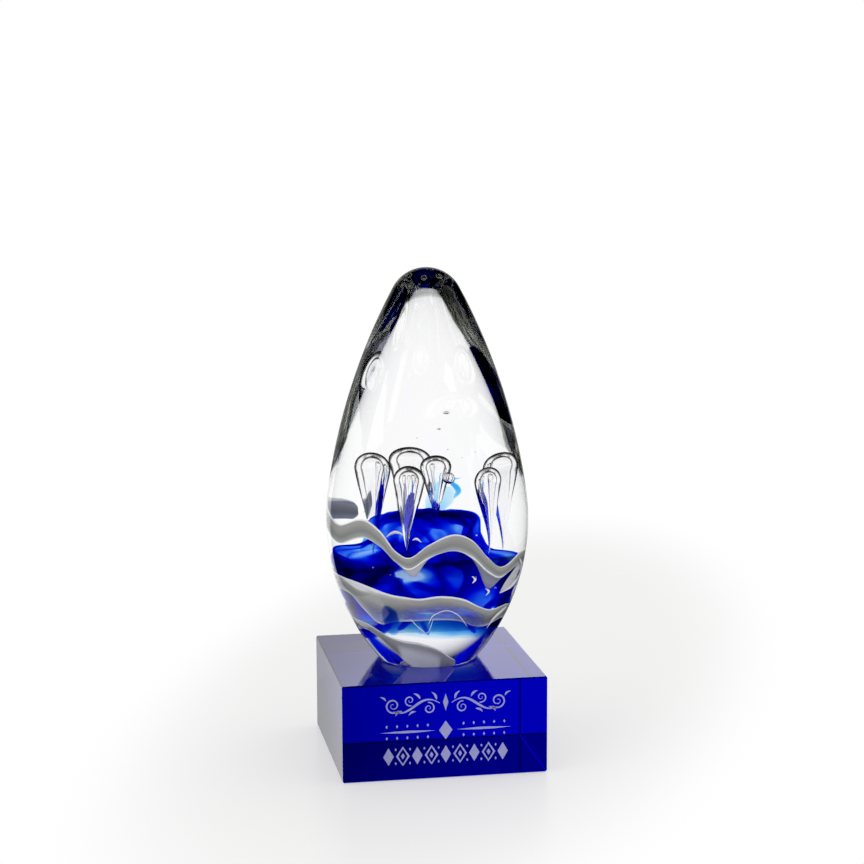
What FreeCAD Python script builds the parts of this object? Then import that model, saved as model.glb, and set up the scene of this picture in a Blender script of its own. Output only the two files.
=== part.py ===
"""Crystal award: a solid glass egg with a blue and white heart, bonded to a square crystal block.

Frame: millimetres, +Z up, origin at the centre of the block's underside, front face towards -Y.
Every height inside the egg is measured from the egg's flat foot.
"""
import FreeCAD, Part
import Sketcher
import math
import os

doc = FreeCAD.newDocument("CrystalAward")

# ---------------------------------------------------------------- driving dimensions

SIZES = {
    # square crystal block
    "base_width": 76.0,
    "base_height": 36.2,
    "base_bevel": 0.8,
    # ornament etched into the front of the block
    "etch_depth": 0.15,
    "etch_height": 18.0,
    "etch_lozenge_width": 5.0,
    "etch_lozenge_height": 7.0,
    "etch_rule_length": 20.0,
    "etch_rule_height": 0.9,
    "etch_rule_gap": 1.6,
    # clear adhesive between the block and the egg
    "bond_thickness": 0.2,
    "bond_radius": 18.0,
    # outside of the egg
    "belly_radius": 38.0,
    "belly_height": 52.9,
    "belly_arc_radius": 81.6,
    "flank_height": 64.6,
    "flank_arc_radius": 230.0,
    "tip_radius": 14.0,
    # heart of the egg: a clear core under a layer of blue glass
    "heart_foot_height": 3.0,
    "heart_foot_radius": 9.5,
    "heart_flank_radius": 60.0,
    "shoulder_radius": 22.4,
    "shoulder_height": 41.0,
    "crown_radius": 13.6,
    "crown_height": 46.0,
    "heart_top_height": 57.0,
    "blue_thickness": 2.0,
    "cobalt_low": 22.8,
    "cobalt_high": 60.0,
    "azure_low": 15.5,
    "azure_high": 22.4,
    # light blue wisp that rises from the crown
    "wisp_width": 6.0,
    "wisp_length": 11.5,
    "wisp_thickness": 1.0,
    "wisp_height": 55.5,
    "wisp_right": 4.5,
    "wisp_back": 3.5,
    # white trail wound round the heart
    "trail_reach": 0.66,
    "trail_thickness": 1.4,
    # air bubbles
    "tail_radius": 0.4,
    "bead_radius": 1.2,
    "bead_height": 68.4,
    "bead_right": 5.2,
    "bead_front": 3.0,
}

# Teardrop bubbles: head radius, length, height of the top, distance from the axis,
# and angle from the front towards the right.
BUBBLES = {
    "front": (4.4, 32.5, 75.3, 16.0, -29.5),
    "right_front": (3.8, 30.5, 72.7, 18.0, 62.0),
    "right": (4.0, 33.0, 75.0, 18.6, 104.0),
    "back": (4.0, 31.0, 76.2, 16.0, 182.0),
    "left": (4.1, 35.5, 76.2, 13.6, -118.0),
    "centre": (3.6, 25.5, 76.2, 2.2, 80.0),
}

# Course of the white trail: angle from the front towards the right, height of its middle, half its width.
TRAIL_COURSE = [
    (-162, 52.4, 2.4),
    (-154, 53.0, 2.8),
    (-125, 51.4, 3.2),
    (-92, 49.0, 3.2),
    (-62, 53.0, 3.2),
    (-46, 50.2, 2.8),
    (-34, 44.6, 2.3),
    (-23, 41.6, 2.7),
    (-9, 46.6, 2.3),
    (9, 49.5, 2.9),
    (24, 47.0, 3.0),
    (40, 40.0, 3.2),
    (56, 36.6, 2.2),
    (86, 39.6, 2.0),
    (120, 37.8, 2.4),
    (180, 34.5, 2.6),
    (240, 32.0, 2.6),
    (272, 31.2, 2.8),
    (286, 28.8, 4.6),
    (302, 25.6, 6.4),
    (326, 25.4, 4.8),
    (361, 25.8, 4.5),
    (380, 24.6, 4.3),
    (397, 21.6, 3.8),
    (413, 20.2, 3.2),
    (440, 21.5, 2.6),
    (540, 19.0, 2.0),
    (638, 17.0, 1.5),
    (653, 15.0, 1.8),
    (667, 11.2, 3.0),
    (680, 8.4, 4.4),
    (702, 6.8, 5.2),
    (724, 5.0, 3.8),
    (739, 3.6, 2.4),
    (752, 2.8, 1.4),
]

for number, (head, length, top, ring, angle) in enumerate(BUBBLES.values(), start=1):
    SIZES.update({
        f"drop{number}_head": head,
        f"drop{number}_length": length,
        f"drop{number}_top": top,
        f"drop{number}_ring": ring,
        f"drop{number}_angle": angle,
    })

sheet = doc.addObject("Spreadsheet::Sheet", "Sizes")
for row, (alias, amount) in enumerate(SIZES.items(), start=1):
    sheet.set(f"A{row}", alias)
    sheet.set(f"B{row}", str(amount))
    sheet.setAlias(f"B{row}", alias)
doc.recompute()

FOOT = "Sizes.base_height + Sizes.bond_thickness"


# ---------------------------------------------------------------- helpers

def size(alias):
    """Value of one driving dimension."""
    return float(sheet.get(alias))


def bind(item, paths):
    """Ties properties of an object to expressions."""
    for path, expression in paths.items():
        item.setExpression(path, expression)
    return item


def new_body(name):
    body = doc.addObject("PartDesign::Body", name)
    body.Label = name
    return body


def new_sketch(body, role, name):
    """Sketch on one of the body's own origin planes."""
    sketch = body.newObject("Sketcher::SketchObject", name)
    plane = next(item for item in body.Origin.OriginFeatures if item.Role == role)
    sketch.AttachmentSupport = [(plane, "")]
    sketch.MapMode = "FlatFace"
    return sketch


def fix(sketch, kind, *references):
    """Geometric constraint."""
    sketch.addConstraint(Sketcher.Constraint(kind, *references))


def drive(sketch, expression, kind, *references):
    """Dimension that follows an expression; the last reference is its first value."""
    index = sketch.addConstraint(Sketcher.Constraint(kind, *references))
    sketch.setExpression(f"Constraints[{index}]", expression)


def line(x1, y1, x2, y2):
    return Part.LineSegment(FreeCAD.Vector(x1, y1, 0), FreeCAD.Vector(x2, y2, 0))


def arc(x, y, radius, start, end):
    """Arc about (x, y), anticlockwise between two angles in radians."""
    circle = Part.Circle(FreeCAD.Vector(x, y, 0), FreeCAD.Vector(0, 0, 1), radius)
    return Part.ArcOfCircle(circle, start, end)


def revolve(body, sketch, name):
    """Full turn of a closed half-outline about the upright axis."""
    feature = body.newObject("PartDesign::Revolution", name)
    feature.Profile = sketch
    feature.ReferenceAxis = (sketch, ["V_Axis"])
    feature.Angle = 360.0
    return feature


def combine(kind, name, first, second):
    """Boolean of two objects of the document."""
    result = doc.addObject(kind, name)
    result.Base = first
    result.Tool = second
    result.Label = name
    return result


def gather(name, items):
    """Union of several objects."""
    result = doc.addObject("Part::MultiFuse", name)
    result.Shapes = items
    result.Label = name
    return result


# ---------------------------------------------------------------- block and adhesive

def base_block():
    """Square block with polished bevels and a shallow etched ornament on its front."""
    body = new_body("base_block")
    width = size("base_width")
    half = width / 2
    outline = new_sketch(body, "XY_Plane", "block_outline")
    corners = [(-half, -half), (half, -half), (half, half), (-half, half)]
    for here, there in zip(corners, corners[1:] + corners[:1]):
        outline.addGeometry(line(*here, *there))
    for edge in range(4):
        fix(outline, "Coincident", edge, 2, (edge + 1) % 4, 1)
        fix(outline, "Vertical" if edge % 2 else "Horizontal", edge)
    fix(outline, "Symmetric", 0, 1, 1, 2, -1, 1)
    drive(outline, "Sizes.base_width", "DistanceX", 0, 1, 0, 2, width)
    drive(outline, "Sizes.base_width", "DistanceY", 1, 1, 1, 2, width)
    pad = body.newObject("PartDesign::Pad", "block_pad")
    pad.Profile = outline
    pad.setExpression("Length", "Sizes.base_height")
    doc.recompute()

    bevel = body.newObject("PartDesign::Chamfer", "polished_bevels")
    bevel.Base = (pad, [f"Edge{number + 1}" for number in range(len(pad.Shape.Edges))])
    bevel.setExpression("Size", "Sizes.base_bevel")
    doc.recompute()

    etching = new_sketch(body, "XZ_Plane", "ornament_outline")
    etching.setExpression("AttachmentOffset.Base.z", "Sizes.base_width / 2")
    rule_centre = "(Sizes.etch_lozenge_width / 2 + Sizes.etch_rule_gap + Sizes.etch_rule_length / 2)"
    lozenge(etching, "0", "Sizes.etch_lozenge_width", "Sizes.etch_lozenge_height")
    lozenge(etching, rule_centre, "Sizes.etch_rule_length", "Sizes.etch_rule_height")
    lozenge(etching, f"-{rule_centre}", "Sizes.etch_rule_length", "Sizes.etch_rule_height")
    pocket = body.newObject("PartDesign::Pocket", "etched_ornament")
    pocket.Profile = etching
    pocket.setExpression("Length", "Sizes.etch_depth")
    doc.recompute()
    if pocket.Shape.Volume >= bevel.Shape.Volume:
        raise RuntimeError("the ornament cuts nothing from the block")
    return body


def lozenge(sketch, centre, width, height):
    """Diamond outline whose middle stands at a given distance from the sketch's upright axis."""
    values = [float(sheet.evalExpression(text)) for text in (centre, width, height, "Sizes.etch_height")]
    x, half_width, half_height, y = values[0], values[1] / 2, values[2] / 2, values[3]
    points = [(x - half_width, y), (x, y - half_height), (x + half_width, y), (x, y + half_height)]
    first = sketch.GeometryCount
    for here, there in zip(points, points[1:] + points[:1]):
        sketch.addGeometry(line(*here, *there))
    for edge in range(4):
        fix(sketch, "Coincident", first + edge, 2, first + (edge + 1) % 4, 1)
    fix(sketch, "Horizontal", first, 1, first + 1, 2)
    fix(sketch, "Vertical", first, 2, first + 2, 2)
    fix(sketch, "Equal", first, first + 1)
    fix(sketch, "Equal", first + 1, first + 2)
    drive(sketch, width, "DistanceX", first, 1, first + 1, 2, 2 * half_width)
    drive(sketch, height, "DistanceY", first, 2, first + 2, 2, 2 * half_height)
    drive(sketch, centre, "DistanceX", -1, 1, first, 2, x)
    drive(sketch, "Sizes.etch_height", "DistanceY", -1, 1, first, 1, y)


def bond_film():
    """Disc of cured clear adhesive under the egg's foot."""
    film = doc.addObject("Part::Cylinder", "bond_film")
    film.Label = "bond_film"
    return bind(film, {
        "Radius": "Sizes.bond_radius",
        "Height": "Sizes.bond_thickness",
        "Placement.Base.z": "Sizes.base_height",
    })


# ---------------------------------------------------------------- solid forms of the egg

def egg_form():
    """Outside of the egg: a flat foot, then three arcs that run into each other up to the tip."""
    body = new_body("egg_form")
    belly, belly_z = size("belly_radius"), size("belly_height")
    belly_arc, flank_arc, tip = size("belly_arc_radius"), size("flank_arc_radius"), size("tip_radius")
    inset = belly_arc - belly
    foot_angle = -math.asin(belly_z / belly_arc)
    join_angle = math.asin((size("flank_height") - belly_z) / belly_arc)
    flank_x = -inset - (flank_arc - belly_arc) * math.cos(join_angle)
    flank_z = belly_z - (flank_arc - belly_arc) * math.sin(join_angle)
    tip_z = flank_z + math.sqrt((flank_arc - tip) ** 2 - flank_x ** 2)
    tip_angle = math.atan2(tip_z - flank_z, -flank_x)
    foot = belly_arc * math.cos(foot_angle) - inset

    half = new_sketch(body, "XZ_Plane", "egg_outline")
    half.addGeometry(line(0, 0, foot, 0))
    half.addGeometry(arc(-inset, belly_z, belly_arc, foot_angle, join_angle))
    half.addGeometry(arc(flank_x, flank_z, flank_arc, join_angle, tip_angle))
    half.addGeometry(arc(0, tip_z, tip, tip_angle, math.pi / 2))
    half.addGeometry(line(0, tip_z + tip, 0, 0))
    fix(half, "Coincident", 0, 1, -1, 1)
    fix(half, "Horizontal", 0)
    fix(half, "Coincident", 0, 2, 1, 1)
    fix(half, "Tangent", 1, 2, 2, 1)
    fix(half, "Tangent", 2, 2, 3, 1)
    fix(half, "Coincident", 3, 2, 4, 1)
    fix(half, "Coincident", 4, 2, 0, 1)
    fix(half, "Vertical", 4)
    fix(half, "PointOnObject", 3, 3, -2)
    drive(half, "Sizes.belly_arc_radius", "Radius", 1, belly_arc)
    drive(half, "Sizes.flank_arc_radius", "Radius", 2, flank_arc)
    drive(half, "Sizes.tip_radius", "Radius", 3, tip)
    drive(half, "Sizes.belly_height", "DistanceY", -1, 1, 1, 3, belly_z)
    drive(half, "Sizes.belly_arc_radius - Sizes.belly_radius", "DistanceX", 1, 3, -1, 1, inset)
    drive(half, "Sizes.flank_height", "DistanceY", -1, 1, 1, 2, size("flank_height"))
    revolve(body, half, "egg_turn")
    return bind(body, {"Placement.Base.z": FOOT})


def heart_form(name, inset):
    """Heart of the egg, or its inside at a given inset: a round flank, a shoulder and a domed crown."""
    body = new_body(name)
    drop = float(sheet.evalExpression(inset))
    foot_r, foot_z = size("heart_foot_radius") - drop, size("heart_foot_height") + drop
    shoulder_r, shoulder_z = size("shoulder_radius") - drop, size("shoulder_height") - drop
    crown_r, crown_z = size("crown_radius") - drop, size("crown_height") - drop
    top_z = size("heart_top_height") - drop
    flank = size("heart_flank_radius")
    chord = math.hypot(shoulder_r - foot_r, shoulder_z - foot_z)
    lean = math.atan2(shoulder_z - foot_z, shoulder_r - foot_r)
    spread = math.asin(chord / 2 / flank)
    start = lean - math.pi / 2 - spread
    flank_x = foot_r - flank * math.cos(start)
    flank_z = foot_z - flank * math.sin(start)
    rise = top_z - crown_z
    dome = (crown_r ** 2 + rise ** 2) / (2 * rise)
    dome_start = math.atan2(crown_z - (top_z - dome), crown_r)

    half = new_sketch(body, "XZ_Plane", f"{name}_outline")
    half.addGeometry(line(0, foot_z, foot_r, foot_z))
    half.addGeometry(arc(flank_x, flank_z, flank, start, start + 2 * spread))
    half.addGeometry(line(shoulder_r, shoulder_z, crown_r, crown_z))
    half.addGeometry(arc(0, top_z - dome, dome, dome_start, math.pi / 2))
    half.addGeometry(line(0, top_z, 0, foot_z))
    fix(half, "Coincident", 0, 2, 1, 1)
    fix(half, "Coincident", 1, 2, 2, 1)
    fix(half, "Coincident", 2, 2, 3, 1)
    fix(half, "Coincident", 3, 2, 4, 1)
    fix(half, "Coincident", 4, 2, 0, 1)
    fix(half, "Horizontal", 0)
    fix(half, "PointOnObject", 0, 1, -2)
    fix(half, "PointOnObject", 3, 2, -2)
    fix(half, "PointOnObject", 3, 3, -2)
    drive(half, "Sizes.heart_flank_radius", "Radius", 1, flank)
    drive(half, f"Sizes.heart_foot_radius - {inset}", "DistanceX", 0, 1, 0, 2, foot_r)
    drive(half, f"Sizes.heart_foot_height + {inset}", "DistanceY", -1, 1, 0, 2, foot_z)
    drive(half, f"Sizes.shoulder_radius - {inset}", "DistanceX", -1, 1, 2, 1, shoulder_r)
    drive(half, f"Sizes.shoulder_height - {inset}", "DistanceY", -1, 1, 2, 1, shoulder_z)
    drive(half, f"Sizes.crown_radius - {inset}", "DistanceX", -1, 1, 2, 2, crown_r)
    drive(half, f"Sizes.crown_height - {inset}", "DistanceY", -1, 1, 2, 2, crown_z)
    drive(half, f"Sizes.heart_top_height - {inset}", "DistanceY", -1, 1, 3, 2, top_z)
    revolve(body, half, f"{name}_turn")
    return bind(body, {"Placement.Base.z": FOOT})


def teardrop(number, label):
    """Air bubble with a round head on top and a straight taper down to a thin tail."""
    body = new_body(f"bubble_{label}")
    head, length = size(f"drop{number}_head"), size(f"drop{number}_length")
    tail = size("tail_radius")
    head_z = length - head
    reach = math.hypot(head_z, tail)
    lean = math.acos(head / reach) - math.atan2(head_z, tail)
    touch = (head * math.cos(lean), head_z + head * math.sin(lean))

    half = new_sketch(body, "XZ_Plane", f"bubble_{label}_outline")
    half.addGeometry(line(0, 0, tail, 0))
    half.addGeometry(line(tail, 0, *touch))
    half.addGeometry(arc(0, head_z, head, lean, math.pi / 2))
    half.addGeometry(line(0, length, 0, 0))
    fix(half, "Coincident", 0, 1, -1, 1)
    fix(half, "Horizontal", 0)
    fix(half, "Coincident", 0, 2, 1, 1)
    fix(half, "Tangent", 1, 2, 2, 1)
    fix(half, "Coincident", 2, 2, 3, 1)
    fix(half, "Coincident", 3, 2, 0, 1)
    fix(half, "Vertical", 3)
    fix(half, "PointOnObject", 2, 3, -2)
    drive(half, "Sizes.tail_radius", "DistanceX", 0, 1, 0, 2, tail)
    drive(half, f"Sizes.drop{number}_head", "Radius", 2, head)
    drive(half, f"Sizes.drop{number}_length", "DistanceY", 0, 1, 2, 2, length)
    revolve(body, half, f"bubble_{label}_turn")
    return bind(body, {
        "Placement.Base.x": f"Sizes.drop{number}_ring * sin(Sizes.drop{number}_angle * 1 deg)",
        "Placement.Base.y": f"-Sizes.drop{number}_ring * cos(Sizes.drop{number}_angle * 1 deg)",
        "Placement.Base.z": f"{FOOT} + Sizes.drop{number}_top - Sizes.drop{number}_length",
    })


def round_bead():
    """Small round bubble beside the centre one."""
    bead = doc.addObject("Part::Sphere", "bubble_bead")
    return bind(bead, {
        "Radius": "Sizes.bead_radius",
        "Placement.Base.x": "Sizes.bead_right",
        "Placement.Base.y": "-Sizes.bead_front",
        "Placement.Base.z": f"{FOOT} + Sizes.bead_height",
    })


def wisp_form():
    """Upright leaf between two equal arcs, one thin sheet of glass thick."""
    body = new_body("wisp_form")
    half_width, half_length = size("wisp_width") / 2, size("wisp_length") / 2
    radius = (half_width ** 2 + half_length ** 2) / (2 * half_width)
    spread = math.asin(half_length / radius)
    leaf = new_sketch(body, "XZ_Plane", "wisp_outline")
    leaf.addGeometry(arc(half_width - radius, half_length, radius, -spread, spread))
    leaf.addGeometry(arc(radius - half_width, half_length, radius, math.pi - spread, math.pi + spread))
    fix(leaf, "Coincident", 0, 1, 1, 2)
    fix(leaf, "Coincident", 0, 2, 1, 1)
    fix(leaf, "Coincident", 0, 1, -1, 1)
    fix(leaf, "PointOnObject", 0, 2, -2)
    fix(leaf, "Equal", 0, 1)
    drive(leaf, "Sizes.wisp_length", "DistanceY", 0, 1, 0, 2, 2 * half_length)
    bow = "(Sizes.wisp_width ^ 2 + Sizes.wisp_length ^ 2) / (4 * Sizes.wisp_width)"
    drive(leaf, bow, "Radius", 0, radius)
    pad = body.newObject("PartDesign::Pad", "wisp_pad")
    pad.Profile = leaf
    pad.Midplane = True
    pad.setExpression("Length", "Sizes.wisp_thickness")
    return bind(body, {
        "Placement.Base.x": "Sizes.wisp_right",
        "Placement.Base.y": "Sizes.wisp_back",
        "Placement.Base.z": f"{FOOT} + Sizes.wisp_height",
    })


def blue_layer(name, heart, core, low, high):
    """Part of the blue layer over the clear core, between two heights."""
    slab = bind(doc.addObject("Part::Cylinder", f"{name}_slab"), {
        "Radius": "Sizes.belly_radius",
        "Height": f"{high} - {low}",
        "Placement.Base.z": f"{FOOT} + {low}",
    })
    zone = combine("Part::Common", f"{name}_zone", heart, slab)
    return combine("Part::Cut", f"{name}_layer", zone, core)


# ---------------------------------------------------------------- white trail

def egg_radius(height):
    """Radius of the egg's outside on its belly arc."""
    belly_arc = size("belly_arc_radius")
    return size("belly_radius") - belly_arc + math.sqrt(belly_arc ** 2 - (height - size("belly_height")) ** 2)


def white_trail():
    """Band of white glass wound round the heart, which waves at first and broadens in its last turn."""
    course = Part.BSplineCurve()
    course.interpolate([FreeCAD.Vector(angle, height, half) for angle, height, half in TRAIL_COURSE])
    samples = 5 * (len(TRAIL_COURSE) - 1)
    first, last = course.FirstParameter, course.LastParameter
    stations = [course.value(first + (last - first) * step / samples) for step in range(samples + 1)]

    def corner(station, side, depth):
        """Corner of the band's section: side is up or down, depth is out or in."""
        height = station.y + side * station.z
        radius = size("trail_reach") * egg_radius(height) + depth * size("trail_thickness") / 2
        turn = math.radians(station.x)
        return FreeCAD.Vector(radius * math.sin(turn), -radius * math.cos(turn), height)

    sections = []
    for station in stations:
        corners = [corner(station, *where) for where in ((-1, 1), (1, 1), (1, -1), (-1, -1))]
        sections.append(Part.makePolygon(corners + corners[:1]))
    band = Part.makeLoft(sections, True)
    trail = doc.addObject("Part::Feature", "white_trail")
    trail.Label = "white_trail"
    trail.Shape = band
    return bind(trail, {"Placement.Base.z": FOOT})


# ---------------------------------------------------------------- assembly

block = base_block()
film = bond_film()
egg = egg_form()
heart = heart_form("heart_form", "0")
core = heart_form("core_form", "Sizes.blue_thickness")
trail = white_trail()
wisp_leaf = wisp_form()
drops = [teardrop(number, label) for number, label in enumerate(BUBBLES, start=1)]
air = gather("trapped_air", drops + [round_bead()])
doc.recompute()

cobalt = blue_layer("cobalt", heart, core, "Sizes.cobalt_low", "Sizes.cobalt_high")
azure = blue_layer("azure", heart, core, "Sizes.azure_low", "Sizes.azure_high")
cobalt_veil = combine("Part::Cut", "cobalt_veil", cobalt, air)
azure_band = combine("Part::Cut", "azure_band", azure, air)
blues = gather("blue_layers", [cobalt, azure, air])
clear_core = combine("Part::Cut", "clear_core", heart, blues)
cobalt_wisp = combine("Part::Cut", "cobalt_wisp", wisp_leaf, gather("wisp_limits", [heart, air]))
filling = gather("casing_filling", [heart, trail, wisp_leaf, air])
clear_casing = combine("Part::Cut", "clear_casing", egg, filling)
doc.recompute()

PIECES = [block, film, clear_casing, clear_core, cobalt_veil, azure_band, cobalt_wisp, trail]

for item in doc.Objects:
    if "Invalid" in item.State or "Error" in item.State:
        raise RuntimeError(f"{item.Name} failed: {item.State}")
for piece in PIECES:
    shape = piece.Shape
    if shape.isNull() or not shape.isValid() or not shape.Solids:
        raise RuntimeError(f"{piece.Label} has no valid solid")

os.makedirs("parts", exist_ok=True)
for piece in PIECES:
    piece.Shape.exportStep(os.path.join("parts", f"{piece.Label}.step"))
    bounds = piece.Shape.BoundBox
    print(f"{piece.Label}: {len(piece.Shape.Solids)} solid, {piece.Shape.Volume:.0f} mm3, "
          f"z {bounds.ZMin:.2f} to {bounds.ZMax:.2f}")
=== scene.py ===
"""Looks of the crystal award: a clear glass egg with a blue and white heart on a cobalt crystal block."""
import math
import random

import bpy
import bmesh
import numpy as np
from mathutils import Matrix, Vector, noise as perlin


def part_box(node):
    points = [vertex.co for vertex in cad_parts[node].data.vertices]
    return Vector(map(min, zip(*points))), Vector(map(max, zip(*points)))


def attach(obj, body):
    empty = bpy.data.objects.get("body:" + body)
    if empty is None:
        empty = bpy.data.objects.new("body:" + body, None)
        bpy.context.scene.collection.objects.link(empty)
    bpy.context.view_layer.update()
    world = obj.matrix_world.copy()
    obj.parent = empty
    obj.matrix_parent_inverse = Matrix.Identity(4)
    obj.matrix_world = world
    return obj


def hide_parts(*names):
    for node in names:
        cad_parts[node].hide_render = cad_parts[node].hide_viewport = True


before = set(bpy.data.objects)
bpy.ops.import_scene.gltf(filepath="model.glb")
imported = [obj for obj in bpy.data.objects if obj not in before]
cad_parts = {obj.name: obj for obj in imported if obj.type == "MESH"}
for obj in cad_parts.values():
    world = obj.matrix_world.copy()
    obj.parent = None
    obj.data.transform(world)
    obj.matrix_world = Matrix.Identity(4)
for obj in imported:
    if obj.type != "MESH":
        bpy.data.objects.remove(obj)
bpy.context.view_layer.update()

MM = 0.001
BLOCK_LOW, BLOCK_HIGH = (Vector(corner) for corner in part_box("base_block"))
EGG_LOW, EGG_HIGH = (Vector(corner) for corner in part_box("clear_casing"))
FILM_LOW, FILM_HIGH = (Vector(corner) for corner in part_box("bond_film"))
BLOCK_WIDTH = BLOCK_HIGH.x - BLOCK_LOW.x
BLOCK_HEIGHT = BLOCK_HIGH.z
FOOT = EGG_LOW.z
EGG_HEIGHT = EGG_HIGH.z - FOOT
BELLY = (EGG_HIGH.x - EGG_LOW.x) / 2
GLASS_IOR = 1.52

scene = bpy.context.scene


# ---------------- node helpers

class Tree:
    """Node tree of a material or of the world, with short ways to add to it."""

    def __init__(self, owner):
        owner.use_nodes = True
        self.nodes = owner.node_tree.nodes
        self.link = owner.node_tree.links.new

    def fill(self, node, values):
        """Gives inputs of a node their values: each is a socket to link or a plain value."""
        for name, value in values.items():
            if isinstance(value, bpy.types.NodeSocket):
                self.link(value, node.inputs[name])
            else:
                node.inputs[name].default_value = value
        return node

    def add(self, kind, **values):
        """New node, with values for inputs whose names are single words."""
        return self.fill(self.nodes.new("ShaderNode" + kind), values)

    def math(self, operation, *terms):
        """Result of a math node."""
        node = self.add("Math")
        node.operation = operation
        return self.fill(node, dict(enumerate(terms))).outputs[0]

    def ease(self, source, span, values):
        """Smooth change between two values over a span of the source."""
        node = self.add("MapRange")
        node.interpolation_type = "SMOOTHSTEP"
        names = ("Value", "From Min", "From Max", "To Min", "To Max")
        return self.fill(node, dict(zip(names, (source, *span, *values)))).outputs["Result"]

    def choose(self, switch, off, on):
        """One of two numbers, by a switch of 0 or 1."""
        return self.add("Mix", Factor=switch, A=off, B=on).outputs[0]

    def mix(self, share, first, second, blend="MIX"):
        """Mix of two colours."""
        node = self.add("Mix")
        node.data_type = "RGBA"
        node.blend_type = blend
        return self.fill(node, {"Factor": share, "A": first, "B": second}).outputs["Result"]

    def ramp(self, source, stops):
        """Colour ramp with (position, colour) stops; a grey is given as one number."""
        node = self.add("ValToRGB", Fac=source)
        points = node.color_ramp.elements
        while len(points) < len(stops):
            points.new(0.5)
        for point, (position, colour) in zip(points, stops):
            point.position = position
            point.color = (*(colour if isinstance(colour, tuple) else (colour,) * 3), 1)
        return node.outputs["Color"]

    def split(self, vector):
        """X, Y and Z of a vector."""
        return self.add("SeparateXYZ", Vector=vector).outputs

    def place(self, kind="Object"):
        """Place that is shaded, as a vector."""
        return self.add("TexCoord").outputs[kind]

    def noise(self, scale, detail=2.0, stretch=None):
        """Noise over the object's own place."""
        source = self.place()
        if stretch:
            source = self.add("Mapping", Vector=source, Scale=stretch).outputs[0]
        return self.add("TexNoise", Vector=source, Scale=scale, Detail=detail).outputs["Fac"]

    def facing(self):
        """How far a surface turns away from the ray that meets it, from 0 to 1."""
        return self.add("LayerWeight", Blend=0.5).outputs["Facing"]

    def absorb(self, colour, density):
        """Gives the body of the glass its colour."""
        volume = self.add("VolumeAbsorption", Color=(*colour, 1), Density=density)
        self.fill(self.nodes["Material Output"], {"Volume": volume.outputs[0]})


def new_material(name):
    """Material with its node tree and its shader."""
    material = bpy.data.materials.new(name)
    tree = Tree(material)
    return material, tree, tree.nodes["Principled BSDF"]


# ---------------- camera, floor and light

def make_camera():
    """Long lens a little left of the front and slightly above the award."""
    azimuth, elevation, roll = (math.radians(angle) for angle in (-9.993, 9.102, -0.22))
    distance = 10.7845 * BLOCK_WIDTH
    target = Vector((0.0264 * BLOCK_WIDTH, 0, 1.6067 * BLOCK_WIDTH))
    back = Vector((math.sin(azimuth) * math.cos(elevation), -math.cos(azimuth) * math.cos(elevation),
                   math.sin(elevation)))
    side = (-back).cross(Vector((0, 0, 1))).normalized()
    rise = side.cross(-back)
    across = math.cos(roll) * side + math.sin(roll) * rise
    upward = math.cos(roll) * rise - math.sin(roll) * side
    data = bpy.data.cameras.new("camera")
    data.sensor_width = 36
    data.lens = 91.25
    data.clip_start = 0.01
    data.clip_end = 50
    camera = bpy.data.objects.new("camera", data)
    matrix = Matrix((across, upward, back)).transposed().to_4x4()
    matrix.translation = target + back * distance
    camera.matrix_world = matrix
    scene.collection.objects.link(camera)
    scene.camera = camera


FLOOR_DROP = 0.25 * MM

# Share of the floor near the award that glows; further out all of it does.
NEAR_GLOW = 0.6

# Strengths of the stage's light, by what the ray that meets it has been through.
NEAR_FLOOR_LIGHT = 0.82
FAR_FLOOR_LIGHT = 1.0
FLOOR_THROUGH_GLASS = 1.06
FLOOR_BESIDE_BLOCK = 0.95
MIRRORED_WALL = 1.35
DOME_LIGHT = 0.9
DOME_THROUGH_GLASS = 1.4

# A ray that glass has mirrored more often than this counts as trapped, and sees only a dim light.
TRAPPED_BOUNCES = 2.5
TRAPPED_LIGHT = 0.35

# The floor's grey pool of painted shade is a leaning ellipse round the award: it turns white over a span of
# its reach.
POOL_LEAN = 0.35
POOL_DEPTH = 0.42
POOL_SHIFT = 0.046
POOL_SPAN = (0.07, 0.145)

# The award mirrors a wedge of the floor behind it, which has a soft edge, and a strip beside the block.
WEDGE_SLOPE = 1.7
WEDGE_EDGE = (-0.03, 0.03)


def is_mirrored(tree, path):
    """1 for a ray that was mirrored, 0 for one that went through glass or met nothing yet."""
    mirrored = tree.math("SUBTRACT", path["Is Glossy Ray"], path["Is Transmission Ray"])
    return tree.math("MAXIMUM", mirrored, 0.0)


def is_trapped(tree, path):
    """1 for a ray that has been mirrored too often to escape the glass, or else 0."""
    return tree.math("GREATER_THAN", path["Glossy Depth"], TRAPPED_BOUNCES)


def mirrored_floor(tree, place):
    """Strength of the floor as the award mirrors it, bright behind the award and left of the block."""
    sideways = tree.math("MULTIPLY", tree.math("ABSOLUTE", place["X"]), WEDGE_SLOPE)
    behind = tree.ease(tree.math("SUBTRACT", place["Y"], sideways), WEDGE_EDGE, (0.0, 1.0))
    beside = tree.math("LESS_THAN", place["X"], -BLOCK_WIDTH / 2)
    close = tree.math("GREATER_THAN", place["X"], -1.5 * BLOCK_WIDTH)
    rearward = tree.math("GREATER_THAN", place["Y"], -BLOCK_WIDTH / 2)
    beside = tree.math("MULTIPLY", tree.math("MULTIPLY", beside, close), rearward)
    return tree.math("MAXIMUM", behind, tree.math("MULTIPLY", beside, FLOOR_BESIDE_BLOCK))


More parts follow.
